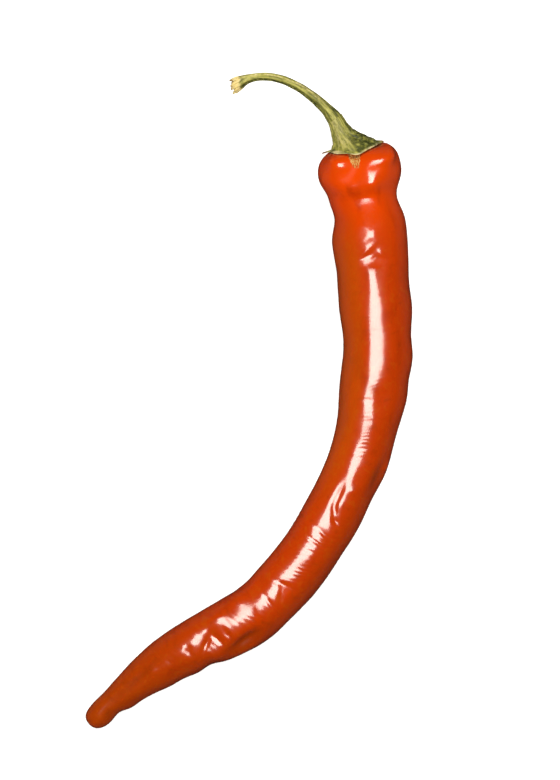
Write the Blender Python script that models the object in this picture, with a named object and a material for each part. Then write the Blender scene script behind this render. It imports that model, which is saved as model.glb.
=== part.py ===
"""A long red chilli pepper, as picked, lying on its side on a flat surface.

It has three grown pieces: the pod, the calyx that caps it and the stem. Seen from above, the
shoulders are at +Y and the tip is at -X -Y. Each piece is turned as a straight body on the Z
axis and then bent along its own route. Lengths are in millimetres until the meshes are scaled.
"""

import math

import bmesh
import bpy
import numpy as np
from mathutils import Vector

MILLIMETRE = 0.001
GAP = 0.3                # clearance between neighbouring pieces
SHARP_ANGLE = math.radians(50.0)

# The pod's middle line, from the seat of the calyx to the tip: x, y, height.
POD_ROUTE = (
    (26.7, 62.9, 12.2),
    (28.1, 54.8, 10.1),
    (30.1, 43.0, 9.1),
    (31.3, 27.0, 8.8),
    (31.9, 12.0, 8.5),
    (30.6, -2.0, 8.0),
    (26.6, -17.0, 7.4),
    (20.1, -30.1, 7.2),
    (10.0, -45.3, 7.2),
    (-1.0, -55.2, 7.2),
    (-10.8, -60.2, 6.8),
    (-23.1, -67.7, 5.6),
    (-34.4, -75.9, 4.2),
    (-37.5, -79.1, 3.7),
)

# The pod's half section: distance along the route, radius.
POD_PROFILE = (
    (0.6, 0.0),
    (0.5, 3.0),
    (0.0, 6.6),
    (0.7, 8.4),
    (2.4, 9.9),
    (5.0, 10.4),
    (8.0, 10.1),
    (11.5, 8.9),
    (14.7, 8.5),
    (19.0, 9.2),
    (25.0, 9.4),
    (40.0, 9.1),
    (58.0, 8.7),
    (73.0, 7.9),
    (95.0, 7.6),
    (118.0, 7.6),
    (131.0, 7.4),
    (146.0, 6.4),
    (161.0, 4.5),
    (169.0, 3.5),
    (173.5, 3.2),
    (176.0, 1.9),
    (176.6, 0.0),
)
POD_SIDES = 28
POD_RING_SPACING = 3.0
POD_DEPTH_RATIO = 0.95   # height of a cross-section over its width
LOBES = 6
LOBE_DEPTH = 0.025       # of the radius, at the shoulders
LOBE_LENGTH = 13.0       # the lobes fade out this far along the pod

# The stalk's middle line, through the calyx and the stem, from the seat to the torn end.
STALK_ROUTE = (
    (26.7, 62.9, 12.2),
    (25.3, 64.4, 12.8),
    (23.2, 67.0, 13.5),
    (21.9, 69.5, 14.0),
    (20.1, 71.7, 14.4),
    (17.8, 74.0, 14.6),
    (14.0, 77.0, 14.4),
    (9.6, 79.4, 13.8),
    (4.9, 80.6, 13.0),
    (1.6, 80.5, 12.4),
    (-1.3, 79.7, 11.8),
    (-3.8, 78.2, 11.2),
)

# The calyx's half section: distance along the stalk, radius. It starts and ends on the axis.
CALYX_LENGTH = 8.4
CALYX_PROFILE = (
    (GAP - 0.6, 0.0),
    (GAP - 0.5, 3.0),
    (GAP, 5.7),
    (0.6, 6.1),
    (1.0, 5.7),
    (2.0, 4.7),
    (3.8, 3.3),
    (5.9, 2.5),
    (CALYX_LENGTH, 2.05),
    (CALYX_LENGTH, 0.0),
)
CALYX_SIDES = 30
CALYX_TEETH = 6
TOOTH_REACH = 0.3
TOOTH_FADE = 8           # power of radius over rim radius, so that only the rim is toothed

# The stem's half section: distance from the neck of the calyx, radius.
STEM_PROFILE = (
    (0.0, 2.0),
    (2.8, 1.7),
    (6.0, 1.45),
    (11.0, 1.25),
    (16.0, 1.12),
    (21.0, 1.03),
    (24.5, 1.05),
    (27.5, 1.6),
    (30.2, 1.8),
)
STEM_SIDES = 14
STEM_RING_SPACING = 1.6

POD_RED = (0.60, 0.06, 0.006)
POD_ROUGHNESS = 0.25
CALYX_GREEN = (0.19, 0.19, 0.02)
STEM_OLIVE = (0.32, 0.28, 0.08)
GREEN_ROUGHNESS = 0.6


class Spline:
    """A natural cubic spline through points, read by the distance along their chords."""

    def __init__(self, points):
        self.points = np.array(points, dtype=float)
        self.gaps = np.linalg.norm(np.diff(self.points, axis=0), axis=1)
        self.stops = np.concatenate(([0.0], np.cumsum(self.gaps)))
        count = len(self.points)
        system = np.eye(count)
        target = np.zeros_like(self.points)
        slopes = np.diff(self.points, axis=0) / self.gaps[:, None]
        for i in range(1, count - 1):
            before, after = self.gaps[i - 1], self.gaps[i]
            system[i, i - 1:i + 2] = before, 2.0 * (before + after), after
            target[i] = 6.0 * (slopes[i] - slopes[i - 1])
        self.bends = np.linalg.solve(system, target)

    def at(self, distance):
        """The point at a distance, which may lie a little past either end."""
        i = int(np.clip(np.searchsorted(self.stops, distance) - 1, 0, len(self.gaps) - 1))
        gap = self.gaps[i]
        b = (distance - self.stops[i]) / gap
        a = 1.0 - b
        curve = (a ** 3 - a) * self.bends[i] + (b ** 3 - b) * self.bends[i + 1]
        return a * self.points[i] + b * self.points[i + 1] + curve * gap ** 2 / 6.0

    def samples(self, spacing):
        """Points along the whole spline, on every knot and at most a spacing apart."""
        found = [self.points[0]]
        for start, gap in zip(self.stops, self.gaps):
            pieces = math.ceil(gap / spacing)
            found += [self.at(start + gap * (k + 1) / pieces) for k in range(pieces)]
        return found


def upright_frame(forward):
    """Level sideways, up and forward unit directions of a line that runs forward."""
    forward = forward.normalized()
    side = Vector((0.0, 0.0, 1.0)).cross(forward).normalized()
    return side, forward.cross(side), forward


class Route:
    """A middle line in space, with an upright frame at each distance along it."""

    SLOPE_STEP = 0.2

    def __init__(self, points):
        self.line = Spline(points)

    def frame(self, distance):
        """Centre, sideways, up and forward directions at a distance along the route."""
        ahead = Vector(self.line.at(distance + self.SLOPE_STEP))
        behind = Vector(self.line.at(distance - self.SLOPE_STEP))
        return Vector(self.line.at(distance)), *upright_frame(ahead - behind)


def turned_body(profile, sides):
    """A closed body turned on the Z axis from points (height, radius) that start and end on it."""
    body = bmesh.new()
    verts = [body.verts.new((radius, 0.0, height)) for height, radius in profile]
    edges = [body.edges.new(pair) for pair in zip(verts, verts[1:])]
    bmesh.ops.spin(
        body, geom=verts + edges, cent=(0.0, 0.0, 0.0), axis=(0.0, 0.0, 1.0),
        angle=2.0 * math.pi, steps=sides, use_merge=True,
    )
    bmesh.ops.remove_doubles(body, verts=body.verts, dist=0.0001)
    return body


def angle_from_top(point):
    """Angle of a point around the Z axis, from +Y, which becomes the upper side."""
    return math.atan2(point.x, point.y)


def finish(body, name, colour, roughness, parent):
    """Scale the body to metres and make it a smooth-shaded object of one material."""
    bmesh.ops.scale(body, vec=(MILLIMETRE,) * 3, verts=body.verts)
    bmesh.ops.recalc_face_normals(body, faces=body.faces)
    mesh = bpy.data.meshes.new(name)
    body.to_mesh(mesh)
    body.free()
    mesh.shade_smooth()
    mesh.set_sharp_from_angle(angle=SHARP_ANGLE)
    material = bpy.data.materials.new(name)
    material.use_nodes = True
    shader = material.node_tree.nodes["Principled BSDF"]
    shader.inputs["Base Color"].default_value = (*colour, 1.0)
    shader.inputs["Roughness"].default_value = roughness
    shader.inputs["Metallic"].default_value = 0.0
    mesh.materials.append(material)
    piece = bpy.data.objects.new(name, mesh)
    piece.parent = parent
    bpy.context.collection.objects.link(piece)
    return piece


def make_pod(route, parent):
    """The fruit: turned, lobed at the shoulders, a little flattened and bent along its route."""
    body = turned_body(Spline(POD_PROFILE).samples(POD_RING_SPACING), POD_SIDES)
    for vert in body.verts:
        along = vert.co.z
        fade = max(0.0, 1.0 - along / LOBE_LENGTH)
        lobe = 1.0 - LOBE_DEPTH * fade * math.cos(LOBES * angle_from_top(vert.co))
        centre, side, up, _ = route.frame(along)
        vert.co = centre + (side * vert.co.x + up * vert.co.y * POD_DEPTH_RATIO) * lobe
    return finish(body, "pod", POD_RED, POD_ROUGHNESS, parent)


def make_calyx(pod_route, stalk_route, parent):
    """The cap: a toothed funnel, flat on the pod's top, whose neck turns to follow the stalk."""
    body = turned_body(CALYX_PROFILE, CALYX_SIDES)
    _, _, _, into_pod = pod_route.frame(0.0)
    rim = max(radius for _, radius in CALYX_PROFILE)
    for vert in body.verts:
        height, radius = vert.co.z, math.hypot(vert.co.x, vert.co.y)
        tooth = TOOTH_REACH * math.cos(CALYX_TEETH * angle_from_top(vert.co))
        stretch = 1.0 + tooth * (radius / rim) ** TOOTH_FADE / rim
        turned = min(1.0, max(0.0, height / CALYX_LENGTH))
        centre, _, _, outward = stalk_route.frame(height)
        side, up, _ = upright_frame((-into_pod).lerp(outward, turned))
        vert.co = centre + (side * vert.co.x + up * vert.co.y) * stretch
    return finish(body, "calyx", CALYX_GREEN, GREEN_ROUGHNESS, parent)


def make_stem(stalk_route, parent):
    """The stem: a rod that narrows from the neck, then flares at its torn end."""
    section = Spline(STEM_PROFILE).samples(STEM_RING_SPACING)
    profile = [(0.0, 0.0), *section, (section[-1][0], 0.0)]
    body = turned_body(profile, STEM_SIDES)
    for vert in body.verts:
        centre, side, up, _ = stalk_route.frame(CALYX_LENGTH + GAP + vert.co.z)
        vert.co = centre + side * vert.co.x + up * vert.co.y
    return finish(body, "stem", STEM_OLIVE, GREEN_ROUGHNESS, parent)


def stand_on_origin(parent, pieces):
    """Move the parent so that the middle of the underside of the whole box is the origin."""
    corners = [vert.co for piece in pieces for vert in piece.data.vertices]
    low = Vector([min(corner[axis] for corner in corners) for axis in range(3)])
    high = Vector([max(corner[axis] for corner in corners) for axis in range(3)])
    middle = (low + high) / 2.0
    parent.location = (-middle.x, -middle.y, -low.z)


def main():
    """Clear the scene and build the chilli under one empty."""
    for old in list(bpy.data.objects):
        bpy.data.objects.remove(old, do_unlink=True)
    chilli = bpy.data.objects.new("chilli", None)
    bpy.context.collection.objects.link(chilli)
    pod_route = Route(POD_ROUTE)
    stalk_route = Route(STALK_ROUTE)
    pieces = [
        make_pod(pod_route, chilli),
        make_calyx(pod_route, stalk_route, chilli),
        make_stem(stalk_route, chilli),
    ]
    stand_on_origin(chilli, pieces)
    bpy.context.view_layer.update()


main()
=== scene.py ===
"""A long red chilli pepper lying on a pale surface, seen from straight above.

The pod, the calyx and the stem are turned as straight bodies in millimetres, given their relief
there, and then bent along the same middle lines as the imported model. Materials read the straight
body's coordinates, so every pattern follows the skin round the bends.
"""

import logging
import math
from collections.abc import Sequence
from dataclasses import dataclass
from enum import Enum

import bmesh
import bpy
import numpy as np
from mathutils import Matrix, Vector, noise


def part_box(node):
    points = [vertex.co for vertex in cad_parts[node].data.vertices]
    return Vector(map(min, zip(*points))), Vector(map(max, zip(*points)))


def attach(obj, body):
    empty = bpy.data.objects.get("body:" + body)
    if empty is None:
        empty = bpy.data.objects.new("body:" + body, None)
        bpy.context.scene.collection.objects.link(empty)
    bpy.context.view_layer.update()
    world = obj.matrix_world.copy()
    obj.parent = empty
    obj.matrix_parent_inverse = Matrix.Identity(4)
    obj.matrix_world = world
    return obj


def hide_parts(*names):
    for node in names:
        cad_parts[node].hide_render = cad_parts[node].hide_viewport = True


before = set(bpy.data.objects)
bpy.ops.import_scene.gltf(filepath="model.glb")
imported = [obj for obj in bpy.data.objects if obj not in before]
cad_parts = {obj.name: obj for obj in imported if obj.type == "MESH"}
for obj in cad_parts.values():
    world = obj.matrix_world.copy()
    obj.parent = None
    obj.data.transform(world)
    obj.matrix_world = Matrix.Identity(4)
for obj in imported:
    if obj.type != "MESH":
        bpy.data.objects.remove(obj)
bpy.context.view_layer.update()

LOG = logging.getLogger("chilli")
MILLIMETRE = 0.001
FULL_TURN = 2.0 * math.pi
MERGE_DISTANCE = 1e-4
NOISE_SHIFT = (17.3, 5.1, 11.7)
NOISE_GAIN = 1.6

# The pod's middle line, from the calyx's seat to the tip.
POD_ROUTE = (
    (26.7, 62.9, 12.2),
    (28.1, 54.8, 10.1),
    (30.1, 43.0, 9.1),
    (31.3, 27.0, 8.8),
    (31.9, 12.0, 8.5),
    (30.6, -2.0, 8.0),
    (26.6, -17.0, 7.4),
    (20.1, -30.1, 7.2),
    (10.0, -45.3, 7.2),
    (-1.0, -55.2, 7.2),
    (-10.8, -60.2, 6.8),
    (-23.1, -67.7, 5.6),
    (-34.4, -75.9, 4.2),
    (-37.5, -79.1, 3.7),
)

# Half section of the straight pod: distance along it, radius.
POD_PROFILE = (
    (0.6, 0.0),
    (0.5, 3.0),
    (0.0, 6.6),
    (0.7, 8.4),
    (2.4, 9.9),
    (5.0, 10.4),
    (8.0, 10.1),
    (11.5, 8.9),
    (14.7, 8.5),
    (19.0, 9.2),
    (25.0, 9.4),
    (40.0, 9.1),
    (58.0, 8.7),
    (73.0, 7.9),
    (95.0, 7.6),
    (118.0, 7.6),
    (131.0, 7.4),
    (146.0, 6.4),
    (161.0, 4.5),
    (169.0, 3.5),
    (173.5, 3.2),
    (176.0, 1.9),
    (176.6, 0.0),
)

# The middle line that the calyx and the stem share, from the seat to the torn end.
STALK_ROUTE = (
    (26.7, 62.9, 12.2),
    (25.3, 64.4, 12.8),
    (23.2, 67.0, 13.5),
    (21.9, 69.5, 14.0),
    (20.1, 71.7, 14.4),
    (17.8, 74.0, 14.6),
    (14.0, 77.0, 14.4),
    (9.6, 79.4, 13.8),
    (4.9, 80.6, 13.0),
    (1.6, 80.5, 12.4),
    (-1.3, 79.7, 11.8),
    (-3.8, 78.2, 11.2),
)

# How far the pod's outer (+X) and inner flanks stand out from the turned profile:
# distance along the pod, millimetres.
OUTER_SWELL = (
    (0.0, 0.1), (3.0, 0.1), (6.0, 0.3), (10.0, 0.3), (13.0, -0.1), (17.0, 0.3), (21.0, 0.25),
    (27.0, 0.05), (35.0, 0.0), (42.0, 0.3), (47.5, -0.1), (52.5, 0.6), (57.5, 0.15),
    (62.0, 0.25), (66.0, -0.1), (75.0, -0.2), (80.0, 0.05), (86.0, -0.4), (92.0, -0.15),
    (103.0, -0.25), (112.0, -0.35), (120.5, -0.6), (125.0, -0.3), (133.0, -0.1), (138.0, -0.15),
    (141.5, -0.6), (145.0, -0.15), (150.0, -0.4), (154.0, -0.2), (157.0, -0.25), (163.0, 0.4),
    (166.0, 0.6), (169.0, -0.1), (172.0, 0.1), (177.0, -0.2),
)
INNER_SWELL = (
    (0.0, -1.1), (3.0, -0.5), (6.5, -0.2), (10.0, -0.5), (13.0, -0.15), (17.0, -0.8), (22.0, -0.1),
    (30.0, -0.2), (42.0, -0.5), (46.0, -0.8), (51.0, -0.8), (60.0, -0.15), (68.0, -0.5),
    (80.0, -0.45), (93.0, -0.5), (100.0, -0.7), (110.0, -0.5), (118.0, -0.2), (122.0, -0.35),
    (133.0, -0.1), (141.0, -0.2), (150.0, 0.1), (156.0, 0.2), (163.0, -0.4), (170.0, -0.45),
    (177.0, 0.0),
)


class Spline:
    """A natural cubic spline, read by the distance along its chords or by given stops."""

    def __init__(self, points: Sequence[Sequence[float]],
                 stops: Sequence[float] | None = None) -> None:
        """Fit the spline.

        Args:
            points: the points that it passes through, one row each.
            stops: the reading of each point; the distance along the chords if left out.
        """
        self.points = np.array(points, dtype=float)
        if stops is None:
            gaps = np.linalg.norm(np.diff(self.points, axis=0), axis=1)
            self.stops = np.concatenate(([0.0], np.cumsum(gaps)))
        else:
            self.stops = np.array(stops, dtype=float)
        self.gaps = np.diff(self.stops)
        count = len(self.points)
        system = np.eye(count)
        target = np.zeros_like(self.points)
        slopes = np.diff(self.points, axis=0) / self.gaps[:, None]
        for i in range(1, count - 1):
            before, after = self.gaps[i - 1], self.gaps[i]
            system[i, i - 1:i + 2] = before, 2.0 * (before + after), after
            target[i] = 6.0 * (slopes[i] - slopes[i - 1])
        self.bends = np.linalg.solve(system, target)

    def at(self, readings: np.ndarray) -> np.ndarray:
        """Read the spline.

        Args:
            readings: where to read it, which may be a little past either end.

        Returns:
            One point for each reading.
        """
        i = np.clip(np.searchsorted(self.stops, readings) - 1, 0, len(self.gaps) - 1)
        gap = self.gaps[i][:, None]
        b = (readings - self.stops[i])[:, None] / gap
        a = 1.0 - b
        curve = (a ** 3 - a) * self.bends[i] + (b ** 3 - b) * self.bends[i + 1]
        return a * self.points[i] + b * self.points[i + 1] + curve * gap ** 2 / 6.0

    def samples(self, spacing: float) -> np.ndarray:
        """Points along the whole spline, at most a spacing apart."""
        count = math.ceil((self.stops[-1] - self.stops[0]) / spacing)
        return self.at(np.linspace(self.stops[0], self.stops[-1], count + 1))


def outline(pairs: Sequence[tuple[float, float]]) -> Spline:
    """A smooth curve of a size against the distance along a piece."""
    along, sizes = zip(*pairs)
    return Spline([[size] for size in sizes], along)


def unit(vectors: np.ndarray) -> np.ndarray:
    """The vectors at unit length."""
    return vectors / np.linalg.norm(vectors, axis=1, keepdims=True)


def polar(points: np.ndarray) -> tuple[np.ndarray, np.ndarray, np.ndarray]:
    """Height, radius and angle from the top line of a straight body's points."""
    return points[:, 2], np.hypot(points[:, 0], points[:, 1]), np.arctan2(points[:, 0], points[:, 1])


def smooth_step(values: np.ndarray, low: float, high: float) -> np.ndarray:
    """0 below low, 1 above high and an even S between; low may be the greater one."""
    share = np.clip((values - low) / (high - low), 0.0, 1.0)
    return share * share * (3.0 - 2.0 * share)


def grain(points: np.ndarray, size: Sequence[float] | float, seed: int) -> np.ndarray:
    """Smooth repeatable noise.

    Args:
        points: where to read it, one row each.
        size: the size of a blob, or its size along each axis.
        seed: a different number gives a different pattern.

    Returns:
        Values from about -1 to 1.
    """
    shift = np.array(NOISE_SHIFT) * (seed + 1)
    places = points / np.array(size) + shift
    return np.array([noise.noise(Vector(place)) for place in places]) * NOISE_GAIN


@dataclass(frozen=True)
class Frames:
    """Upright frames along a middle line, one row for each reading."""

    centre: np.ndarray
    side: np.ndarray
    up: np.ndarray

    def place(self, across: np.ndarray, height: np.ndarray) -> np.ndarray:
        """Points at a distance across and a height above each frame's centre."""
        return self.centre + self.side * across[:, None] + self.up * height[:, None]


class MiddleLine:
    """The middle line of a bent piece."""

    SLOPE_STEP = 0.2

    def __init__(self, route: Sequence[Sequence[float]], shift: np.ndarray) -> None:
        """Take the route's points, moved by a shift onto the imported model."""
        self.line = Spline(np.array(route) + shift)

    def direction(self, along: np.ndarray) -> np.ndarray:
        """Unit directions of the line at distances along it."""
        return unit(self.line.at(along + self.SLOPE_STEP) - self.line.at(along - self.SLOPE_STEP))

    def frames(self, along: np.ndarray, forward: np.ndarray | None = None) -> Frames:
        """Frames at distances along the line.

        Args:
            along: the distances.
            forward: directions that the frames face; the line's own if left out.

        Returns:
            One upright frame for each distance.
        """
        facing = self.direction(along) if forward is None else unit(forward)
        side = unit(np.cross((0.0, 0.0, 1.0), facing))
        return Frames(self.line.at(along), side, np.cross(facing, side))


class Form(Enum):
    """The cross-section of a mark in the skin."""

    ROUND = "round"
    CREASE = "crease"


@dataclass(frozen=True)
class Mark:
    """A swelling of the skin, or a dent where its height is negative, in millimetres.

    Across is measured round the skin from the top line towards the outside of the bend. Turn is
    the angle from the pod's length towards that side.
    """

    along: float
    across: float
    length: float
    width: float
    height: float
    turn: float = 0.0
    form: Form = Form.ROUND

    CREASE_EDGE = 0.12

    def relief(self, along: np.ndarray, across: np.ndarray, girth: np.ndarray) -> np.ndarray:
        """Height of the mark over the skin.

        Args:
            along: distance of each point along the pod.
            across: its distance round the skin from the top line.
            girth: the distance once round the pod there.

        Returns:
            The height at each point.
        """
        ahead = along - self.along
        aside = (across - self.across + girth / 2.0) % girth - girth / 2.0
        angle = math.radians(self.turn)
        lengthwise = (ahead * math.cos(angle) + aside * math.sin(angle)) / self.length
        crosswise = (aside * math.cos(angle) - ahead * math.sin(angle)) / self.width
        if self.form is Form.CREASE:
            crosswise = np.sqrt(np.abs(crosswise) + self.CREASE_EDGE) - math.sqrt(self.CREASE_EDGE)
        return self.height * np.exp(-lengthwise ** 2 - crosswise ** 2)


@dataclass(frozen=True)
class Ripples:
    """A stretch of fine cross wrinkles that wander and fade."""

    start: float
    end: float
    wavelength: float
    height: float
    slant: float
    seed: int

    FADE = 4.0
    WANDER = 0.55
    WANDER_SIZE = (4.0, 4.0, 7.0)
    PATCH_SIZE = (2.6, 2.6, 3.2)
    PATCH_MEAN = 0.55
    PATCH_SWING = 0.75
    PATCH_LIMIT = 1.3

    def relief(self, along: np.ndarray, across: np.ndarray, skin: np.ndarray) -> np.ndarray:
        """Height of the wrinkles over the skin.

        Args:
            along: distance of each point along the pod.
            across: its distance round the skin from the top line.
            skin: the points of the straight body, which set where the wrinkles wander.

        Returns:
            The height at each point.
        """
        stretch = smooth_step(along, self.start - self.FADE, self.start + self.FADE)
        stretch *= smooth_step(along, self.end + self.FADE, self.end - self.FADE)
        chosen = stretch > 0.0
        height = np.zeros(len(along))
        near = skin[chosen]
        wander = grain(near, self.WANDER_SIZE, self.seed) * self.WANDER
        turns = (along[chosen] + self.slant * across[chosen]) / self.wavelength + wander
        strength = self.PATCH_MEAN + self.PATCH_SWING * grain(near, self.PATCH_SIZE, self.seed + 1)
        strength = np.clip(strength, 0.0, self.PATCH_LIMIT)
        height[chosen] = np.sin(FULL_TURN * turns) * strength * stretch[chosen] * self.height
        return height


# Relief of the pod's top, from the calyx to the waist.
SHOULDER_MARKS = (
    Mark(0.5, -0.6, 5.6, 4.2, -2.5, -16.0),
    Mark(1.4, 8.4, 3.0, 3.2, 1.7),
    Mark(0.0, -6.2, 2.6, 3.0, 1.4),
    Mark(4.4, 4.5, 1.6, 2.5, -0.35),
    Mark(5.5, -3.5, 3.0, 4.0, -1.1),
    Mark(9.4, 2.5, 2.4, 2.0, 0.7),
    Mark(11.8, 0.0, 3.4, 6.0, -0.38),
    Mark(12.6, 0.2, 1.3, 2.4, -0.25),
    Mark(5.0, 20.0, 6.0, 2.2, -0.6),
    Mark(5.0, -21.5, 6.0, 2.2, -0.6),
    Mark(4.0, 29.5, 6.0, 3.0, -0.5),
)

# Swellings, dents and folds from the waist to the tip.
BODY_MARKS = (
    Mark(23.2, 0.0, 4.0, 8.0, 0.5),
    Mark(22.2, 0.5, 1.6, 1.7, 0.25),
    Mark(26.3, 0.5, 2.4, 4.0, -0.25),
    Mark(28.6, 0.4, 1.9, 4.0, -0.5, -8.0),
    Mark(26.6, -1.6, 2.8, 0.8, 0.24, -50.0),
    Mark(28.2, -1.0, 1.5, 0.6, 0.16, -60.0),
    Mark(27.2, 2.2, 1.2, 0.9, 0.18, 40.0),
    Mark(32.6, -0.3, 4.5, 1.8, 0.26),
    Mark(48.5, 0.3, 6.0, 3.6, -0.22),
    Mark(46.5, 7.0, 4.0, 4.0, 0.28),
    Mark(62.5, 2.8, 3.6, 3.0, -0.65),
    Mark(63.4, -2.2, 0.5, 2.2, -0.05),
    Mark(69.0, -4.5, 4.5, 3.0, 0.25),
    Mark(82.0, -0.3, 5.0, 2.2, 0.14),
    Mark(112.0, -6.0, 34.0, 6.0, 0.8),
    Mark(89.3, -0.9, 3.4, 0.9, -0.42, 3.0),
    Mark(93.0, 0.2, 2.0, 0.8, -0.38, 30.0),
    Mark(94.9, 1.5, 1.2, 0.7, -0.3, 60.0),
    Mark(86.0, 2.0, 1.6, 1.0, 0.18, -40.0),
    Mark(98.8, 0.0, 3.0, 0.6, -0.16, 80.0),
    Mark(101.8, 0.0, 3.0, 0.5, -0.16, 82.0),
    Mark(115.2, -0.4, 3.0, 0.9, -0.34, -75.0),
    Mark(117.5, 0.8, 2.2, 0.8, -0.22, 35.0),
    Mark(120.8, 0.3, 2.4, 0.6, -0.20, 80.0),
    Mark(128.2, -6.0, 3.0, 3.0, 0.75),
    Mark(130.5, 4.4, 3.6, 1.6, -1.2, 12.0),
    Mark(131.0, 7.6, 4.5, 2.0, 0.45),
    Mark(133.4, 1.0, 1.8, 0.6, -0.22, -80.0),
    Mark(137.5, 0.3, 3.8, 2.8, -0.8),
    Mark(134.8, -4.0, 2.6, 1.8, 0.6),
    Mark(138.6, 4.6, 2.2, 2.0, 0.5),
    Mark(145.0, -0.5, 12.0, 7.0, 0.5),
    Mark(136.3, 0.5, 2.2, 0.7, -0.34, -72.0),
    Mark(139.2, 0.5, 3.0, 0.7, -0.34, 42.0),
    Mark(143.8, 0.0, 1.4, 0.9, -0.28, 70.0),
    Mark(148.5, 0.5, 1.6, 2.4, -0.25, 40.0),
    Mark(154.6, -1.0, 1.6, 1.5, 0.42, 30.0),
    Mark(157.0, -0.8, 5.0, 0.9, -0.3, 12.0),
    Mark(164.5, -0.2, 5.0, 0.9, -0.25, 3.0),
    Mark(150.0, 3.0, 6.0, 1.6, -0.3, -8.0),
    Mark(118.5, -5.2, 3.0, 1.2, -0.2, 20.0),
    Mark(171.0, 1.6, 1.4, 0.6, -0.4, 25.0, Form.CREASE),
    Mark(80.5, 7.2, 4.0, 1.8, -0.5),
    Mark(78.2, 9.3, 1.2, 0.8, 0.35),
)

RIPPLES = (
    Ripples(22.0, 84.0, 2.6, 0.012, 0.2, 5),
    Ripples(34.0, 84.0, 0.95, 0.012, 0.3, 31),
    Ripples(98.0, 102.0, 1.5, 0.075, 0.1, 37),
    Ripples(97.0, 113.0, 1.25, 0.028, 0.35, 11),
    Ripples(113.0, 152.0, 1.7, 0.016, 0.5, 23),
)

# Places where the wax is dull; the height is the share of the gloss that is lost.
DULL_SPOTS = (
    Mark(5.0, -2.2, 3.6, 1.9, 2.4, -38.0),
    Mark(5.4, -4.0, 1.8, 1.6, 2.2),
    Mark(4.2, 3.6, 1.1, 1.8, 1.4),
    Mark(12.4, 2.4, 1.4, 1.2, 1.6),
    Mark(12.4, -1.9, 1.4, 1.2, 1.6),
    Mark(16.0, 0.3, 1.9, 3.2, 2.0),
    Mark(18.9, -0.2, 1.7, 2.6, 1.8),
    Mark(28.7, 1.9, 0.9, 1.5, 1.7),
    Mark(30.1, 0.6, 0.9, 2.4, 1.8),
    Mark(115.8, 1.0, 1.3, 1.1, 1.6),
    Mark(125.0, 0.2, 0.8, 2.4, 1.8, -20.0),
)

# Painted shade in dents, creases and grooves of the relief; the height is the share.
PAINTED_SHADE_SPOTS = (
    Mark(130.5, 4.4, 4.4, 1.7, 1.0, 12.0),
    Mark(81.5, 6.2, 3.4, 1.8, 0.8),
    Mark(170.8, 1.8, 1.6, 0.9, 0.8, 25.0),
    Mark(158.0, -0.9, 6.0, 0.9, 0.7, 10.0),
)


def turned_mesh(section: Sequence[Sequence[float]], sides: int, name: str) -> bpy.types.Mesh:
    """Turn a half section on the Z axis.

    Args:
        section: points of height and radius that start and end on the axis.
        sides: how many sides the body has.
        name: the mesh's name.

    Returns:
        A closed mesh in millimetres.
    """
    body = bmesh.new()
    verts = [body.verts.new((radius, 0.0, height)) for height, radius in section]
    edges = [body.edges.new(pair) for pair in zip(verts, verts[1:])]
    bmesh.ops.spin(
        body, geom=verts + edges, cent=(0.0, 0.0, 0.0), axis=(0.0, 0.0, 1.0),
        angle=FULL_TURN, steps=sides, use_merge=True,
    )
    bmesh.ops.remove_doubles(body, verts=body.verts, dist=MERGE_DISTANCE)
    bmesh.ops.recalc_face_normals(body, faces=body.faces)
    mesh = bpy.data.meshes.new(name)
    body.to_mesh(mesh)
    body.free()
    return mesh


def read_points(mesh: bpy.types.Mesh) -> np.ndarray:
    """Read the mesh's points.

    Args:
        mesh: the mesh.

    Returns:
        Its points, one row each.
    """
    points = np.zeros(len(mesh.vertices) * 3, dtype=np.float32)
    mesh.vertices.foreach_get("co", points)
    return points.reshape(-1, 3).astype(float)


def write_points(mesh: bpy.types.Mesh, points: np.ndarray) -> None:
    """Move the mesh's points, given in millimetres, to their places in metres."""
    mesh.vertices.foreach_set("co", (points * MILLIMETRE).astype(np.float32).ravel())
    mesh.update()


def write_vectors(mesh: bpy.types.Mesh, name: str, vectors: np.ndarray) -> None:
    """Keep one vector for each point of the mesh under a name that materials can read."""
    kept = mesh.attributes.new(name, "FLOAT_VECTOR", "POINT")
    kept.data.foreach_set("vector", vectors.astype(np.float32).ravel())


def write_values(mesh: bpy.types.Mesh, name: str, values: np.ndarray) -> None:
    """Keep one number for each point of the mesh under a name that materials can read."""
    kept = mesh.attributes.new(name, "FLOAT", "POINT")
    kept.data.foreach_set("value", values.astype(np.float32))


def face_outwards(mesh: bpy.types.Mesh) -> None:
    """Point the faces outwards, because placing a turned body can turn it inside out.

    Args:
        mesh: a closed mesh in its final place.
    """
    body = bmesh.new()
    body.from_mesh(mesh)
    bmesh.ops.recalc_face_normals(body, faces=body.faces)
    body.to_mesh(mesh)
    body.free()


def show(mesh: bpy.types.Mesh, node: str, material: bpy.types.Material) -> None:
    """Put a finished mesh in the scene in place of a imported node.

    Args:
        mesh: the piece, in place and in metres.
        node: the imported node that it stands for.
        material: its finish.
    """
    face_outwards(mesh)
    mesh.materials.append(material)
    mesh.shade_smooth()
    piece = bpy.data.objects.new(mesh.name, mesh)
    bpy.context.scene.collection.objects.link(piece)
    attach(piece, "root")
    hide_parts(node)
    LOG.info("%s: %d faces", piece.name, len(mesh.polygons))


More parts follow.
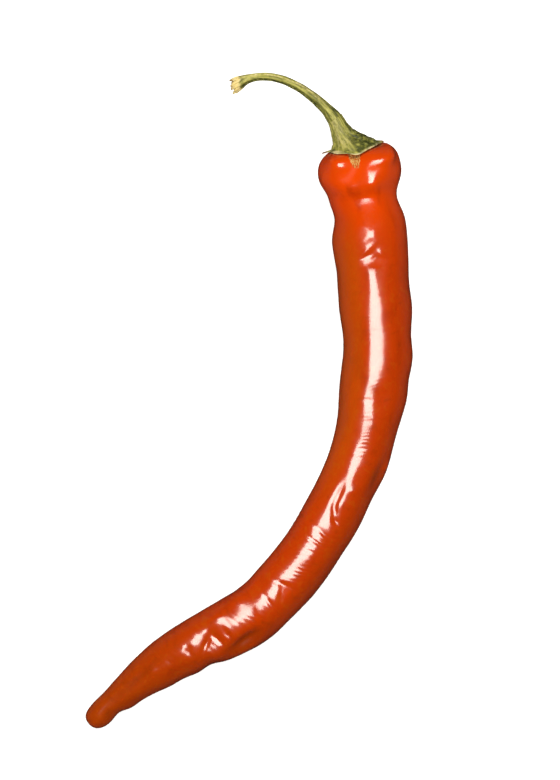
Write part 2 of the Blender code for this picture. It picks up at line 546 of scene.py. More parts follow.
class Shading:
    """One material's node tree, built by short calls."""

    FACTOR_IN = 0
    COLOUR_A_IN = 6
    COLOUR_B_IN = 7
    COLOUR_OUT = 2

    def __init__(self, name: str) -> None:
        """Start a material with a Principled shader.

        Args:
            name: the material's name.
        """
        self.material = bpy.data.materials.new(name)
        self.material.use_nodes = True
        self.tree = self.material.node_tree
        self.shader = self.tree.nodes["Principled BSDF"]
        self.straight = self.attribute("straight").outputs["Vector"]

    def attribute(self, name: str) -> bpy.types.Node:
        """Read one of the mesh's own attributes.

        Args:
            name: the attribute's name.

        Returns:
            The node that reads it.
        """
        node = self.tree.nodes.new("ShaderNodeAttribute")
        node.attribute_name = name
        return node

    def mask(self, name: str) -> bpy.types.NodeSocket:
        """The mesh's own attribute as one value."""
        return self.attribute(name).outputs["Fac"]

    def link(self, source: bpy.types.NodeSocket, target: bpy.types.NodeSocket) -> None:
        """Join two sockets."""
        self.tree.links.new(source, target)

    def feed(self, value: object, target: bpy.types.NodeSocket) -> None:
        """Join a socket to the target, or set a plain value on it.

        Args:
            value: a socket, or a value of the target's kind.
            target: the socket that takes it.
        """
        if isinstance(value, bpy.types.NodeSocket):
            self.link(value, target)
        else:
            target.default_value = value

    def scaled(self, size: tuple[float, float, float]) -> bpy.types.NodeSocket:
        """The straight body's coordinates, in units of a size along each axis.

        Args:
            size: the unit along each axis, in millimetres.

        Returns:
            The scaled coordinates.
        """
        node = self.tree.nodes.new("ShaderNodeVectorMath")
        node.operation = "DIVIDE"
        self.link(self.straight, node.inputs[0])
        node.inputs[1].default_value = size
        return node.outputs["Vector"]

    def noise(self, size: tuple[float, float, float], detail: float = 3.0,
              warp: float = 0.0) -> bpy.types.NodeSocket:
        """Noise in the straight body's coordinates.

        Args:
            size: millimetres of a blob across, in height and along.
            detail: how many finer layers it has.
            warp: how strongly it is distorted.

        Returns:
            The noise, from 0 to 1.
        """
        node = self.tree.nodes.new("ShaderNodeTexNoise")
        node.inputs["Scale"].default_value = 1.0
        node.inputs["Detail"].default_value = detail
        node.inputs["Distortion"].default_value = warp
        self.link(self.scaled(size), node.inputs["Vector"])
        return node.outputs["Fac"]

    def along(self) -> bpy.types.NodeSocket:
        """Distance along the straight body.

        Returns:
            The distance in millimetres.
        """
        node = self.tree.nodes.new("ShaderNodeSeparateXYZ")
        self.link(self.straight, node.inputs["Vector"])
        return node.outputs["Z"]

    def spread(self, value: bpy.types.NodeSocket, low: float, high: float,
               to_low: float = 0.0, to_high: float = 1.0) -> bpy.types.NodeSocket:
        """Map a value smoothly from one range to another.

        Args:
            value: the value.
            low: where the range starts; it may be the greater end.
            high: where it ends.
            to_low: what the start becomes.
            to_high: what the end becomes.

        Returns:
            The mapped value.
        """
        node = self.tree.nodes.new("ShaderNodeMapRange")
        node.interpolation_type = "SMOOTHSTEP"
        self.link(value, node.inputs["Value"])
        bounds = {"From Min": low, "From Max": high, "To Min": to_low, "To Max": to_high}
        for socket, bound in bounds.items():
            node.inputs[socket].default_value = bound
        return node.outputs["Result"]

    def times(self, a: object, b: object) -> bpy.types.NodeSocket:
        """Multiply two values.

        Args:
            a: a socket or a number.
            b: another.

        Returns:
            The product, kept from 0 to 1.
        """
        node = self.tree.nodes.new("ShaderNodeMath")
        node.operation = "MULTIPLY"
        node.use_clamp = True
        self.feed(a, node.inputs[0])
        self.feed(b, node.inputs[1])
        return node.outputs["Value"]

    def mix(self, share: object, a: object, b: object) -> bpy.types.NodeSocket:
        """Mix two colours.

        Args:
            share: how much of b there is, from 0 to 1.
            a: a socket or a colour.
            b: another.

        Returns:
            The mixed colour.
        """
        node = self.tree.nodes.new("ShaderNodeMix")
        node.data_type = "RGBA"
        self.feed(share, node.inputs[self.FACTOR_IN])
        self.feed(a, node.inputs[self.COLOUR_A_IN])
        self.feed(b, node.inputs[self.COLOUR_B_IN])
        return node.outputs[self.COLOUR_OUT]

    def ramp(self, value: bpy.types.NodeSocket,
             stops: Sequence[tuple[float, tuple[float, ...]]]) -> bpy.types.NodeSocket:
        """Colour a value by a ramp.

        Args:
            value: the value.
            stops: the ramp's positions, each with its colour.

        Returns:
            The colour.
        """
        node = self.tree.nodes.new("ShaderNodeValToRGB")
        ramp = node.color_ramp
        while len(ramp.elements) < len(stops):
            ramp.elements.new(0.5)
        for element, (position, colour) in zip(ramp.elements, stops):
            element.position = position
            element.color = colour
        self.link(value, node.inputs["Fac"])
        return node.outputs["Color"]

    def bump(self, layers: Sequence[tuple[object, float]]) -> None:
        """Fine relief on the shader's normal.

        Args:
            layers: heights from 0 to 1, each with its depth in millimetres.
        """
        normal = None
        for height, depth in layers:
            node = self.tree.nodes.new("ShaderNodeBump")
            node.inputs["Strength"].default_value = 1.0
            node.inputs["Distance"].default_value = depth * MILLIMETRE
            self.feed(height, node.inputs["Height"])
            if normal is not None:
                self.link(normal, node.inputs["Normal"])
            normal = node.outputs["Normal"]
        self.link(normal, self.shader.inputs["Normal"])

    def settle(self, **values: object) -> None:
        """Set the shader's sockets; underscores in the names stand for spaces."""
        for name, value in values.items():
            self.feed(value, self.shader.inputs[name.replace("_", " ")])


def colour(red: float, green: float, blue: float) -> tuple[float, float, float, float]:
    """A solid colour."""
    return (red, green, blue, 1.0)


@dataclass(frozen=True)
class RedSkin:
    """Waxy red skin: orange at the shoulders, deeper along the body, a corky scar at the top."""

    shoulder: tuple[float, ...] = colour(0.63, 0.050, 0.0002)
    body: tuple[float, ...] = colour(0.44, 0.035, 0.0001)
    tip: tuple[float, ...] = colour(0.34, 0.040, 0.0003)
    dark: tuple[float, ...] = colour(0.24, 0.013, 0.0004)
    # Deep red of the brown blotches, also the colour of the painted shade.
    deep: tuple[float, ...] = colour(0.22, 0.025, 0.0003)
    # Orange of the pale blotches, also the colour of the painted light on the inner flank.
    pale: tuple[float, ...] = colour(0.43, 0.070, 0.0015)
    cork_light: tuple[float, ...] = colour(0.62, 0.34, 0.11)
    cork_dark: tuple[float, ...] = colour(0.46, 0.13, 0.02)
    # Painted shadow under the calyx's rim.
    rim_shadow: tuple[float, ...] = colour(0.045, 0.012, 0.003)
    roughness: float = 0.28
    cork_roughness: float = 0.75
    specular_level: float = 0.04
    coat_roughness: float = 0.17
    coat_ior: float = 1.7
    bleed: float = 0.08
    bleed_reach: tuple[float, ...] = (0.0020, 0.0004, 0.0002)
    shoulder_to_body: tuple[float, float] = (4.0, 34.0)
    body_to_tip: tuple[float, float] = (125.0, 172.0)
    waist: tuple[float, float] = (12.0, 40.0)
    mottle_size: tuple[float, float, float] = (5.0, 5.0, 11.0)
    blotch_size: tuple[float, float, float] = (2.4, 2.4, 2.0)
    fleck_size: tuple[float, float, float] = (0.5, 0.5, 1.1)
    fibre_size: tuple[float, float, float] = (0.28, 0.28, 3.0)
    peel_size: tuple[float, float, float] = (1.5, 1.5, 1.1)
    crease_size: tuple[float, float, float] = (1.6, 1.6, 0.5)
    pore_size: tuple[float, float, float] = (0.35, 0.35, 0.45)
    peel_depth: float = 0.06
    crease_depth: float = 0.02
    pore_depth: float = 0.008
    fibre_depth: float = 0.25

    def material(self) -> bpy.types.Material:
        """Build the material.

        Returns:
            The material, which reads the pod's straight coordinates and masks.
        """
        look = Shading("red_skin")
        along = look.along()
        base = look.mix(look.spread(along, *self.shoulder_to_body), self.shoulder, self.body)
        base = look.mix(look.spread(along, *self.body_to_tip), base, self.tip)
        mottle = look.noise(self.mottle_size, 3.0, 0.4)
        base = look.mix(look.spread(mottle, 0.52, 0.80, 0.0, 0.5), base, self.dark)
        blotches = look.noise(self.blotch_size, 4.0, 0.6)
        below_waist = look.spread(along, *self.waist)
        orange = look.times(below_waist, look.spread(blotches, 0.54, 0.70, 0.0, 0.35))
        base = look.mix(orange, base, self.pale)
        brown = look.times(below_waist, look.spread(blotches, 0.46, 0.30, 0.0, 0.3))
        base = look.mix(brown, base, self.deep)
        # Painted shade: the outer flank and the dents and creases darker.
        base = look.mix(look.times(look.mask("painted_shade"), 0.55), base, self.deep)
        # Painted light: the inner flank lighter and more orange.
        base = look.mix(look.times(look.mask("pale"), 0.5), base, self.pale)
        flecks = look.noise(self.fleck_size, 2.0)
        base = look.mix(look.spread(flecks, 0.60, 0.78, 0.0, 0.25), base, self.shoulder)
        cork = look.mask("cork")
        gloss = look.mask("gloss")
        fibres = look.noise(self.fibre_size, 3.0)
        ragged = look.times(cork, look.spread(fibres, 0.34, 0.56, 0.30, 1.0))
        ragged = look.spread(ragged, 0.25, 0.6)
        bark = look.mix(look.spread(fibres, 0.42, 0.60), self.cork_dark, self.cork_light)
        base = look.mix(ragged, base, bark)
        # Painted shadow: a thin dark ring where the calyx's rim stands over the skin.
        rim_shadow = look.mask("rim_shadow")
        base = look.mix(look.times(rim_shadow, look.spread(flecks, 0.3, 0.6, 0.5, 0.9)), base, self.rim_shadow)
        look.settle(
            Base_Color=base,
            Roughness=look.spread(ragged, 0.0, 1.0, self.roughness, self.cork_roughness),
            Specular_IOR_Level=self.specular_level,
            Coat_Weight=look.times(gloss, look.spread(ragged, 0.0, 0.8, 1.0, 0.0)),
            Coat_Roughness=self.coat_roughness,
            Coat_IOR=self.coat_ior,
            Subsurface_Weight=self.bleed,
            Subsurface_Radius=self.bleed_reach,
            Subsurface_Scale=1.0,
        )
        look.bump((
            (look.noise(self.peel_size, 2.0), self.peel_depth),
            (look.noise(self.crease_size, 2.0, 0.3), self.crease_depth),
            (look.noise(self.pore_size, 1.0), self.pore_depth),
            (look.times(fibres, ragged), self.fibre_depth),
        ))
        return look.material


@dataclass(frozen=True)
class GreenStalk:
    """Dull green of the calyx and the stem, streaked lengthwise, cream where rim or torn."""

    dark: tuple[float, ...] = colour(0.036, 0.043, 0.005)
    olive: tuple[float, ...] = colour(0.15, 0.15, 0.020)
    light: tuple[float, ...] = colour(0.42, 0.39, 0.080)
    cream: tuple[float, ...] = colour(0.66, 0.55, 0.28)
    straw: tuple[float, ...] = colour(0.72, 0.55, 0.18)
    dry: tuple[float, ...] = colour(0.18, 0.10, 0.045)
    roughness: float = 0.5
    rough_swing: float = 0.12
    ior: float = 1.45
    bleed: float = 0.08
    bleed_reach: tuple[float, ...] = (0.0010, 0.0010, 0.0004)
    streak_size: tuple[float, float, float] = (0.7, 0.7, 7.0)
    fine_size: tuple[float, float, float] = (0.28, 0.28, 2.2)
    speck_size: tuple[float, float, float] = (0.45, 0.45, 0.8)
    mottle_size: tuple[float, float, float] = (0.55, 0.55, 0.8)
    pit_size: tuple[float, float, float] = (0.45, 0.45, 0.7)
    streak_depth: float = 0.22
    fine_depth: float = 0.10
    pit_depth: float = 0.05

    def material(self, name: str) -> bpy.types.Material:
        """Build the material.

        Args:
            name: the material's name.

        Returns:
            The material, which reads the piece's straight coordinates and masks.
        """
        look = Shading(name)
        streaks = look.noise(self.streak_size, 4.0, 0.2)
        fine = look.noise(self.fine_size, 3.0)
        specks = look.noise(self.speck_size, 2.0, 0.3)
        base = look.ramp(streaks, ((0.34, self.dark), (0.47, self.olive), (0.64, self.light)))
        base = look.mix(look.spread(fine, 0.52, 0.70, 0.0, 0.5), base, self.light)
        base = look.mix(look.spread(specks, 0.54, 0.68, 0.0, 0.4), base, self.dark)
        shaded = look.mask("shaded")
        mottle = look.noise(self.mottle_size, 3.0, 0.5)
        patches = look.ramp(mottle, ((0.42, self.dark), (0.58, self.olive), (0.74, self.light)))
        base = look.mix(look.times(shaded, look.spread(streaks, 0.45, 0.8, 1.0, 0.7)), base, patches)
        lit = look.mask("lit")
        pale = look.mix(look.spread(fine, 0.40, 0.60), self.light, self.cream)
        base = look.mix(look.times(lit, look.spread(specks, 0.40, 0.62, 1.0, 0.35)), base, pale)
        rim = look.mask("rim")
        base = look.mix(rim, base, self.cream)
        torn = look.mask("torn")
        fibre = look.ramp(fine, ((0.34, self.dry), (0.46, self.straw), (0.60, self.cream)))
        base = look.mix(torn, base, fibre)
        dry = look.mask("dry")
        base = look.mix(dry, base, self.dry)
        look.settle(
            Base_Color=base,
            Roughness=look.spread(streaks, 0.3, 0.7, self.roughness + self.rough_swing, self.roughness),
            IOR=self.ior,
            Subsurface_Weight=self.bleed,
            Subsurface_Radius=self.bleed_reach,
            Subsurface_Scale=1.0,
        )
        pits = look.noise(self.pit_size, 2.0)
        look.bump(((streaks, self.streak_depth), (fine, self.fine_depth), (pits, self.pit_depth)))
        return look.material


@dataclass(frozen=True)
class PaleCard:
    """The matt pale surface that the chilli lies on; it glows for the camera's own rays only."""

    shade: tuple[float, ...] = colour(0.90, 0.90, 0.90)
    cloud_shade: tuple[float, ...] = colour(0.891, 0.891, 0.891)
    cloud_scale: float = 3.0
    roughness: float = 0.9
    specular_level: float = 0.1
    glow: float = 0.55
    far_glow: float = 1.15
    near_edge: float = 0.35
    far_edge: float = 1.2

    def material(self) -> bpy.types.Material:
        """Build the material.

        Returns:
            The material.
        """
        look = bpy.data.materials.new("pale_card")
        look.use_nodes = True
        tree = look.node_tree
        shader = tree.nodes["Principled BSDF"]
        cloudy = tree.nodes.new("ShaderNodeTexNoise")
        cloudy.inputs["Scale"].default_value = self.cloud_scale
        place = tree.nodes.new("ShaderNodeTexCoord")
        tree.links.new(place.outputs["Object"], cloudy.inputs["Vector"])
        tint = tree.nodes.new("ShaderNodeMix")
        tint.data_type = "RGBA"
        tint.inputs[Shading.COLOUR_A_IN].default_value = self.shade
        tint.inputs[Shading.COLOUR_B_IN].default_value = self.cloud_shade
        tree.links.new(cloudy.outputs["Fac"], tint.inputs[Shading.FACTOR_IN])
        tree.links.new(tint.outputs[Shading.COLOUR_OUT], shader.inputs["Base Color"])
        shader.inputs["Roughness"].default_value = self.roughness
        shader.inputs["Specular IOR Level"].default_value = self.specular_level
        shader.inputs["Emission Color"].default_value = self.shade
        distance = tree.nodes.new("ShaderNodeVectorMath")
        distance.operation = "LENGTH"
        tree.links.new(place.outputs["Object"], distance.inputs[0])
        glow = tree.nodes.new("ShaderNodeMapRange")
        glow.interpolation_type = "SMOOTHSTEP"
        tree.links.new(distance.outputs["Value"], glow.inputs["Value"])
        glow.inputs["From Min"].default_value = self.near_edge
        glow.inputs["From Max"].default_value = self.far_edge
        glow.inputs["To Min"].default_value = self.glow
        glow.inputs["To Max"].default_value = self.far_glow
        ray = tree.nodes.new("ShaderNodeLightPath")
        seen = tree.nodes.new("ShaderNodeMath")
        seen.operation = "MULTIPLY"
        tree.links.new(glow.outputs["Result"], seen.inputs[1])
        tree.links.new(ray.outputs["Is Camera Ray"], seen.inputs[0])
        tree.links.new(seen.outputs["Value"], shader.inputs["Emission Strength"])
        return look


@dataclass
class Pod:
    """The red fruit."""

    shift: np.ndarray
    sides: int = 128
    ring_spacing: float = 0.28
    depth_ratio: float = 0.95
    lobes: int = 6
    lobe_depth: float = 0.015
    lobe_length: float = 13.0
    uneven: float = 0.16
    smallest_ring: float = 0.5
    calm_radius: float = 2.5
    cork_across: float = -0.9
    cork_width: float = 2.2
    cork_narrowing: float = 0.24
    # Radius and width of the painted shadow ring under the calyx's rim.
    rim_shadow_radius: float = 6.35
    rim_shadow_width: float = 0.35

    COARSE_GRAIN = (7.0, 7.0, 12.0)
    FINE_GRAIN = (3.0, 3.0, 4.0)
    FINE_SHARE = 0.25
    BOX_SPACING = 1.0
    BOX_SIDES = 72
    SEAT_SPACING = 0.4

    def __post_init__(self) -> None:
        """Fit the pod's middle line and outlines."""
        self.middle = MiddleLine(POD_ROUTE, self.shift)
        self.profile = Spline(POD_PROFILE)
        self.outer = outline(OUTER_SWELL)
        self.inner = outline(INNER_SWELL)

    def plain_box(self) -> tuple[np.ndarray, np.ndarray]:
        """Measure the pod before any relief.

        Returns:
            Its lowest and highest corners, in millimetres.
        """
        section = self.profile.samples(self.BOX_SPACING)
        turns = np.linspace(0.0, FULL_TURN, self.BOX_SIDES, endpoint=False)
        along = np.repeat(section[:, 0], len(turns))
        radius = np.repeat(section[:, 1], len(turns))
        around = np.tile(turns, len(section))
        points = self.bend(along, radius, around)
        return points.min(0), points.max(0)

    def bend(self, along: np.ndarray, radius: np.ndarray, around: np.ndarray) -> np.ndarray:
        """Place points of the straight body on the bent one.

        Args:
            along: distance along the pod.
            radius: distance from its middle line.
            around: angle from the top line towards the outside of the bend.

        Returns:
            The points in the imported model's frame, in millimetres.
        """
        frames = self.middle.frames(along)
        height = radius * np.cos(around) * self.depth_ratio
        return frames.place(radius * np.sin(around), height)

    def girth(self, radius: np.ndarray) -> np.ndarray:
        """Distance once round the pod, never near nothing at its ends."""
        return FULL_TURN * np.maximum(radius, self.smallest_ring)

    def relief(self, skin: np.ndarray) -> np.ndarray:
        """How far the skin stands out from the turned body.

        Args:
            skin: points of the straight body.

        Returns:
            The height at each point, in millimetres.
        """
        along, radius, around = polar(skin)
        girth = self.girth(radius)
        across = around * girth / FULL_TURN
        outwards = np.sin(around)
        height = self.outer.at(along)[:, 0] * np.maximum(outwards, 0.0) ** 2
        height += self.inner.at(along)[:, 0] * np.maximum(-outwards, 0.0) ** 2
        fade = np.clip(1.0 - along / self.lobe_length, 0.0, 1.0)
        height -= radius * self.lobe_depth * fade * np.cos(self.lobes * around)
        height += grain(skin, self.COARSE_GRAIN, 2) * self.uneven
        height += grain(skin, self.FINE_GRAIN, 3) * self.uneven * self.FINE_SHARE
        for mark in SHOULDER_MARKS + BODY_MARKS:
            height += mark.relief(along, across, girth)
        for ripples in RIPPLES:
            height += ripples.relief(along, across, skin)
        return height * np.minimum(1.0, radius / self.calm_radius) ** 2

    def build(self) -> None:
        """Make the pod's mesh and put it in the scene."""
        mesh = turned_mesh(self.profile.samples(self.ring_spacing), self.sides, "red_pod")
        skin = read_points(mesh)
        along, radius, around = polar(skin)
        raised = radius + self.relief(skin)
        write_points(mesh, self.bend(along, raised, around))
        write_vectors(mesh, "straight", skin)
        self.paint(mesh, skin, raised)
        show(mesh, "pod", RedSkin().material())

    def paint(self, mesh: bpy.types.Mesh, skin: np.ndarray, raised: np.ndarray) -> None:
        """Write the masks that the finish reads.

        Args:
            mesh: the pod's mesh.
            skin: points of the straight body.
            raised: their distances from the middle line with the relief.
        """
        along, radius, around = polar(skin)
        across = around * radius
        write_values(mesh, "cork", self.cork(along, across))
        write_values(mesh, "gloss", self.gloss(along, across, radius))
        # Painted shadow under the calyx's rim, a thin ring on the skin near the seat.
        rim_shadow = np.exp(-((raised - self.rim_shadow_radius) / self.rim_shadow_width) ** 2)
        write_values(mesh, "rim_shadow", rim_shadow * smooth_step(along, 4.0, 2.0))
        outwards = np.sin(around)
        # Painted shade: the outer flank darker, more so down the bend, and darker in dents and creases.
        painted_shade = smooth_step(outwards, 0.10, 0.85) * (0.3 + 0.7 * smooth_step(along, 25.0, 110.0))
        painted_shade += sum(spot.relief(along, across, self.girth(radius)) for spot in PAINTED_SHADE_SPOTS)
        write_values(mesh, "painted_shade", painted_shade)
        # Painted light: the inner flank of the straight part lighter and more orange.
        straight_part = smooth_step(along, 12.0, 30.0) * smooth_step(along, 100.0, 75.0)
        write_values(mesh, "pale", smooth_step(outwards, -0.22, -0.5) * straight_part)

    def cork(self, along: np.ndarray, across: np.ndarray) -> np.ndarray:
        """Strength of the corky scar that runs down from the calyx and narrows.

        Args:
            along: distance of each point along the pod.
            across: its distance round the skin from the top line.

        Returns:
            The strength at each point, from 0 to 1.
        """
        width = self.cork_width - self.cork_narrowing * np.clip(along, 0.0, 5.0)
        inside = smooth_step(np.abs(across - self.cork_across) / width, 1.15, 0.6)
        return inside * smooth_step(along, 5.2, 1.4)

    def gloss(self, along: np.ndarray, across: np.ndarray, radius: np.ndarray) -> np.ndarray:
        """Share of the wax's gloss that is left."""
        lost = sum(spot.relief(along, across, self.girth(radius)) for spot in DULL_SPOTS)
        return np.clip(1.0 - lost, 0.0, 1.0)

    def seat(self, around: np.ndarray, radius: np.ndarray) -> np.ndarray:
        """Depth of the pod's top below the calyx's seat plane.

        Args:
            around: angles from the top line.
            radius: distances from the middle line.

        Returns:
            The distance along the pod at which its skin has that radius.
        """
        section = self.profile.samples(self.SEAT_SPACING)
        section = section[: int(np.argmax(section[:, 1])) + 1]
        depth = np.zeros(len(around))
        for i, (angle, reach) in enumerate(zip(around, radius)):
            ring = section[:, 1]
            skin = np.stack((ring * np.sin(angle), ring * np.cos(angle), section[:, 0]), axis=1)
            depth[i] = np.interp(reach, ring + self.relief(skin), section[:, 0])
        return depth


@dataclass
class Calyx:
    """The green cap with its ribs, pale rim and dry teeth."""

    pod: Pod
    middle: MiddleLine
    sides: int = 180
    ring_spacing: float = 0.10
    length: float = 9.0
    clearance: float = 0.12
    rim_radius: float = 6.1
    tooth_reach: float = 2.4
    tooth_follow: float = 0.35
    streak_radius: float = 2.6
    ribs: int = 6
    rib_depth: float = 0.15
    pit_depth: float = 0.24
    speckle_depth: float = 0.08
    rim_margin: float = 0.1
    turn_height: float = 8.4
    lit_share: float = 0.45

    PROFILE = (
        (0.0, 0.0),
        (0.0, 3.0),
        (0.0, 5.6),
        (0.25, 6.1),
        (0.7, 5.8),
        (1.6, 5.0),
        (2.6, 4.1),
        (4.0, 3.25),
        (6.0, 2.52),
        (8.4, 2.10),
        (8.95, 1.97),
        (9.0, 1.6),
        (9.0, 0.0),
    )
    # How far the cap follows the pod's top: radius, share of the depth at the rim.
    DRAPE = (
        (0.0, 0.0),
        (5.0, 0.6),
        (6.1, 1.0),
    )
    # Three sharp teeth and two low swells of the rim: angle from the top line and half width
    # in degrees, share of a tooth's reach.
    TEETH = (
        (92.0, 5.0, 0.6),
        (-96.0, 4.5, 1.0),
        (178.0, 8.0, 0.6),
        (12.0, 26.0, 0.16),
        (-46.0, 14.0, 0.14),
    )

    def build(self) -> None:
        """Make the calyx's mesh and put it in the scene."""
        section = Spline(self.PROFILE).samples(self.ring_spacing)
        section[0, 1] = section[-1, 1] = 0.0
        mesh = turned_mesh(section, self.sides, "green_calyx")
        straight = read_points(mesh)
        height, radius, around = polar(straight)
        teeth = self.teeth(around)
        rim = smooth_step(radius, 5.2, 6.0) * smooth_step(height, 1.0, 0.4)
        reach = radius + self.tooth_reach * teeth * rim
        reach += self.ribbing(straight, around, height, radius)
        drape = smooth_step(height, 2.2, 0.2)
        turns, places = np.unique(np.round(around, 3), return_inverse=True)
        edge = self.pod.seat(turns, np.full(len(turns), self.rim_radius))
        deep = np.interp(reach, *zip(*self.DRAPE)) * edge[places]
        tips = reach > self.rim_radius + self.rim_margin
        skin = self.pod.seat(around[tips], reach[tips])
        deep[tips] = edge[places][tips] + self.tooth_follow * (skin - edge[places][tips])
        height = height - deep * drape + self.clearance
        write_points(mesh, self.bend(height, reach, around))
        ribbon = (np.sin(around), np.cos(around), (straight[:, 2] - radius) / self.streak_radius)
        write_vectors(mesh, "straight", np.stack(ribbon, axis=1) * self.streak_radius)
        self.paint(mesh, straight, teeth * rim)
        show(mesh, "calyx", GreenStalk().material("calyx_green"))

    def teeth(self, around: np.ndarray) -> np.ndarray:
        """How far the rim's teeth reach out.

        Args:
            around: angles from the top line.

        Returns:
            The share of a tooth's reach at each angle.
        """
        share = np.zeros(len(around))
        for angle, width, length in self.TEETH:
            away = (np.degrees(around) - angle + 180.0) % 360.0 - 180.0
            share += length * np.exp(-(away / width) ** 2)
        return share

    def ribbing(self, straight: np.ndarray, around: np.ndarray, height: np.ndarray,
                radius: np.ndarray) -> np.ndarray:
        """Ribs that run down to the rim, with a pitted flank on the outer side.

        Args:
            straight: points of the straight body.
            around: their angles from the top line.
            height: their heights above the seat.
            radius: their distances from the middle line.

        Returns:
            How far the surface stands out.
        """
        shown = smooth_step(radius, 1.2, 2.0) * smooth_step(height, 0.1, 0.9)
        wave = np.cos(self.ribs * around + 0.7 + 0.8 * grain(straight, 5.0, 31))
        ribs = self.rib_depth * wave * smooth_step(height, self.length, 3.0)
        pits = self.pit_depth * grain(straight, (1.1, 1.1, 1.0), 37)
        pits += self.speckle_depth * grain(straight, 0.5, 39)
        flank = smooth_step(np.degrees(around), 0.0, 50.0) * smooth_step(height, 6.5, 2.5)
        return shown * (ribs + pits * (0.25 + 0.75 * flank))

    def bend(self, height: np.ndarray, radius: np.ndarray, around: np.ndarray) -> np.ndarray:
        """Place points of the straight body: flat on the pod's top, then turning to the stem.

        Args:
            height: heights above the seat.
            radius: distances from the middle line.
            around: angles from the top line.

        Returns:
            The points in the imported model's frame, in millimetres.
        """
        into_pod = self.pod.middle.direction(np.zeros(1))
        turned = np.clip(height / self.turn_height, 0.0, 1.0)[:, None]
        outward = self.middle.direction(height)
        frames = self.middle.frames(height, (1.0 - turned) * -into_pod + turned * outward)
        return frames.place(-radius * np.sin(around), radius * np.cos(around))

    def paint(self, mesh: bpy.types.Mesh, straight: np.ndarray, teeth: np.ndarray) -> None:
        """Write the masks that the finish reads.

        Args:
            mesh: the calyx's mesh.
            straight: points of the straight body.
            teeth: share of a tooth's reach at each point, nothing away from the rim.
        """
        height, radius, around = polar(straight)
        degrees = np.degrees(around)
        lip = np.exp(-((degrees + 52.0) / 15.0) ** 2) * smooth_step(height, 1.5, 0.8)
        edge = smooth_step(height, 0.62, 0.30) * smooth_step(radius, 5.0, 5.6)
        uneven = np.clip(0.6 + 0.9 * grain(straight, 1.2, 45), 0.15, 1.0)
        write_values(mesh, "rim", np.clip(edge * uneven + lip, 0.0, 1.0))
        write_values(mesh, "dry", smooth_step(teeth, 0.2, 0.55))
        flank = smooth_step(degrees, -8.0, 25.0) * smooth_step(height, 7.5, 3.5)
        hem = 0.8 * smooth_step(degrees, -45.0, -20.0) * smooth_step(height, 2.0, 0.9)
        write_values(mesh, "shaded", np.maximum(flank, hem))
        streak = np.exp(-((degrees + 22.0) / 26.0) ** 2) * smooth_step(height, 0.8, 3.0)
        write_values(mesh, "lit", streak * self.lit_share)
        write_values(mesh, "torn", np.zeros(len(height)))


@dataclass
class Stem:
    """The olive stem with its ridges and its torn, flared end."""

    middle: MiddleLine
    start: float = 7.4
    sides: int = 72
    ring_spacing: float = 0.16
    ridges: int = 5
    ridge_depth: float = 0.07
    grain_depth: float = 0.05
    tear_spread: float = 0.24

    PROFILE = (
        (0.0, 0.0),
        (0.0, 1.7),
        (1.0, 1.93),
        (1.8, 1.95),
        (3.9, 1.62),
        (7.1, 1.36),
        (12.0, 1.15),
        (17.0, 1.04),
        (22.3, 0.97),
        (25.8, 1.0),
        (28.4, 1.45),
        (30.4, 1.7),
        (31.0, 1.45),
        (30.8, 0.8),
        (30.4, 0.0),
    )
    TORN_FROM = 28.6
    TORN_TO = 31.0

    def build(self) -> None:
        """Make the stem's mesh and put it in the scene."""
        section = Spline(self.PROFILE).samples(self.ring_spacing)
        section[0, 1] = section[-1, 1] = 0.0
        mesh = turned_mesh(section, self.sides, "arched_stem")
        straight = read_points(mesh)
        height, radius, around = polar(straight)
        body = smooth_step(radius, 0.3, 0.9)
        wave = np.cos(self.ridges * around + 0.05 * height + 0.5)
        reach = radius + body * self.ridge_depth * wave * smooth_step(height, 2.0, 8.0)
        reach += body * self.grain_depth * grain(straight, (0.8, 0.8, 2.5), 41)
        end = smooth_step(height, self.TORN_FROM - 1.0, self.TORN_TO)
        ragged = grain(straight * (1.0, 1.0, 0.2), 0.55, 43)
        reach *= 1.0 + end * self.tear_spread * ragged
        along = self.start + height + end * (ragged - 0.5 * np.sin(around))
        frames = self.middle.frames(along)
        across, lift = -reach * np.sin(around), reach * np.cos(around) * (1.0 - 0.2 * end)
        write_points(mesh, frames.place(across, lift))
        write_vectors(mesh, "straight", straight + (0.0, 0.0, self.start))
        self.paint(mesh, straight, ragged)
        show(mesh, "stem", GreenStalk().material("stem_olive"))

    def paint(self, mesh: bpy.types.Mesh, straight: np.ndarray, ragged: np.ndarray) -> None:
        """Write the masks that the finish reads.

        Args:
            mesh: the stem's mesh.
            straight: points of the straight body.
            ragged: how uneven the tear is at each point, from about -1 to 1.
        """
        height, _, around = polar(straight)
        tear = height + 0.8 * ragged + 0.5 * np.sin(around)
        write_values(mesh, "torn", smooth_step(tear, self.TORN_FROM, self.TORN_FROM + 0.8))
        write_values(mesh, "dry", smooth_step(tear, 30.8, 31.6) * 0.9)
        write_values(mesh, "rim", np.zeros(len(height)))
        degrees = np.degrees(around)
        under = smooth_step(degrees, -18.0, -50.0) + smooth_step(degrees, 58.0, 80.0)
        write_values(mesh, "shaded", np.clip(under, 0.0, 1.0) * smooth_step(height, 1.0, 8.0))
        streak = np.exp(-((degrees - 30.0) / 17.0) ** 2)
        write_values(mesh, "lit", streak * smooth_step(height, 3.0, 12.0))


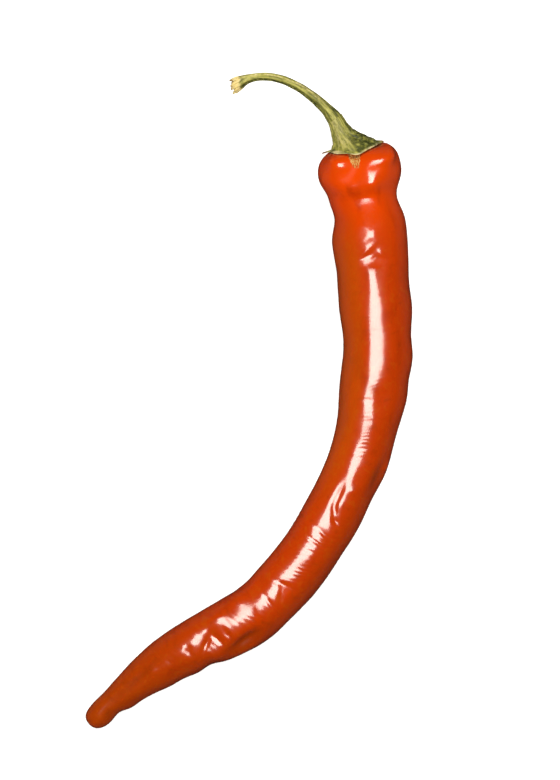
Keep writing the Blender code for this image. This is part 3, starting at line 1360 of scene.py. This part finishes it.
@dataclass
class Studio:
    """The surface, the soft light and the camera."""

    shift: np.ndarray
    camera_height: float = 0.700
    field_height: float = 0.195
    focus_height: float = 0.010
    aim: tuple[float, float] = (0.0080, 0.0026)
    softbox_height: float = 0.88
    softbox_size: tuple[float, float] = (0.53, 0.64)
    softbox_offset: tuple[float, float] = (0.02, 0.11)
    softbox_power: float = 12.9
    softbox_tint: tuple[float, ...] = (1.0, 0.975, 0.89)
    surroundings: tuple[float, ...] = colour(1.0, 1.0, 1.0)
    room_light: float = 0.01
    backdrop_light: float = 1.0
    floor_radius: float = 4.0
    floor_sides: int = 96
    sensor_width: float = 36.0

    def build(self) -> None:
        """Make the floor, the lights and the camera."""
        self.lay_floor()
        self.light()
        self.place_camera()
        bpy.context.scene.view_settings.view_transform = "Standard"

    def lay_floor(self) -> None:
        """A wide pale disc under the chilli."""
        disc = bmesh.new()
        bmesh.ops.create_circle(disc, cap_ends=True, segments=self.floor_sides, radius=self.floor_radius)
        mesh = bpy.data.meshes.new("floor")
        disc.to_mesh(mesh)
        disc.free()
        mesh.materials.append(PaleCard().material())
        floor = bpy.data.objects.new("floor", mesh)
        bpy.context.scene.collection.objects.link(floor)
        floor.visible_glossy = False

    def light(self) -> None:
        """One softbox overhead in a dim room; only the camera's own rays see a white backdrop."""
        lamp = bpy.data.lights.new("softbox", "AREA")
        lamp.shape = "RECTANGLE"
        lamp.size, lamp.size_y = self.softbox_size
        lamp.energy = self.softbox_power
        lamp.color = self.softbox_tint
        softbox = bpy.data.objects.new("softbox", lamp)
        softbox.location = (*self.softbox_offset, self.softbox_height)
        softbox.visible_camera = False
        bpy.context.scene.collection.objects.link(softbox)
        world = bpy.data.worlds.new("room")
        world.use_nodes = True
        tree = world.node_tree
        background = tree.nodes["Background"]
        background.inputs["Color"].default_value = self.surroundings
        ray = tree.nodes.new("ShaderNodeLightPath")
        strength = tree.nodes.new("ShaderNodeMapRange")
        strength.inputs["To Min"].default_value = self.room_light
        strength.inputs["To Max"].default_value = self.backdrop_light
        tree.links.new(ray.outputs["Is Camera Ray"], strength.inputs["Value"])
        tree.links.new(strength.outputs["Result"], background.inputs["Strength"])
        bpy.context.scene.world = world

    def place_camera(self) -> None:
        """A camera that looks straight down, with +Y at the top of its view."""
        data = bpy.data.cameras.new("overhead")
        data.sensor_width = self.sensor_width
        data.lens = self.sensor_width * (self.camera_height - self.focus_height) / self.field_height
        camera = bpy.data.objects.new("overhead", data)
        x, y = (aim + offset * MILLIMETRE for aim, offset in zip(self.aim, self.shift))
        camera.location = (x, y, self.camera_height)
        bpy.context.scene.collection.objects.link(camera)
        bpy.context.scene.camera = camera


def packed_shift() -> np.ndarray:
    """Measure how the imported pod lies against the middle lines' own frame.

    Returns:
        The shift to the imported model's frame, in millimetres.
    """
    low, high = Pod(np.zeros(3)).plain_box()
    packed_low, packed_high = (np.array(corner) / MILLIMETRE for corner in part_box("pod"))
    shift = (packed_low + packed_high - low - high) / 2.0
    shift[2] = packed_low[2] - low[2]
    return shift


def main() -> None:
    """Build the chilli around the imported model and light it."""
    logging.basicConfig(level=logging.INFO, format="%(name)s: %(message)s")
    shift = packed_shift()
    LOG.info("shift %s mm", np.round(shift, 3))
    pod = Pod(shift)
    stalk = MiddleLine(STALK_ROUTE, shift)
    pod.build()
    Calyx(pod, stalk).build()
    Stem(stalk).build()
    Studio(shift).build()


if __name__ == "__main__":
    main()
